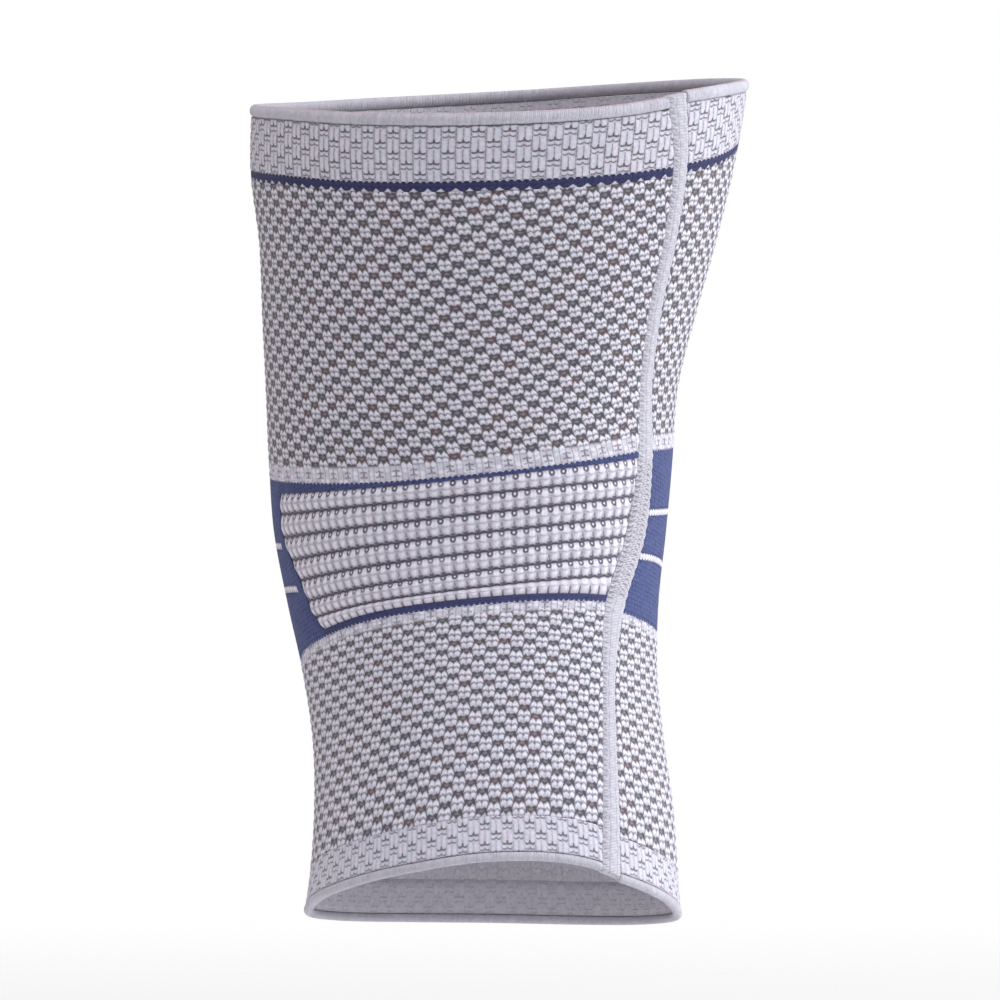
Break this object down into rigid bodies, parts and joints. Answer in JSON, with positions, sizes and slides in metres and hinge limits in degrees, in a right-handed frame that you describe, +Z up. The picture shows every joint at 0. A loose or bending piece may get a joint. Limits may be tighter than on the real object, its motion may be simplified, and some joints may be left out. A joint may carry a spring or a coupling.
{
  "type": "knee sleeve",
  "caption": "Knitted tubular knee support shaped to a slightly bent leg, with welted cuffs, a ribbed panel in the hollow of the knee, a blue band and a lengthwise flat seam.",
  "frame": {"origin": "middle of the knee inside the sleeve, where the thigh's and the calf's lines meet", "axes": "+Z up the thigh, -Y towards the hollow of the knee, +X towards the side with the lengthwise seam"},
  "size_m": [0.1506, 0.1597, 0.2602],
  "materials": {
    "pale_yarn": "soft matte knit",
    "brick_knit": "matte brick knit in two greys",
    "tuck_knit": "matte two-coloured tuck knit",
    "navy_yarn": "matte knit",
    "blue_yarn": "matte knit",
    "white_yarn": "soft matte knit"
  },
  "bodies": {
    "root": {"thigh_hem": "pale_yarn", "thigh_cuff": "brick_knit", "thigh_stripe": "navy_yarn", "thigh_panel": "tuck_knit", "knee_band": "blue_yarn", "knee_stripe_upper": "white_yarn", "knee_stripe_lower": "white_yarn", "popliteal_panel": "pale_yarn", "calf_panel": "tuck_knit", "calf_cuff": "brick_knit", "calf_hem": "pale_yarn", "seam": "pale_yarn"}
  },
  "joints": []
}
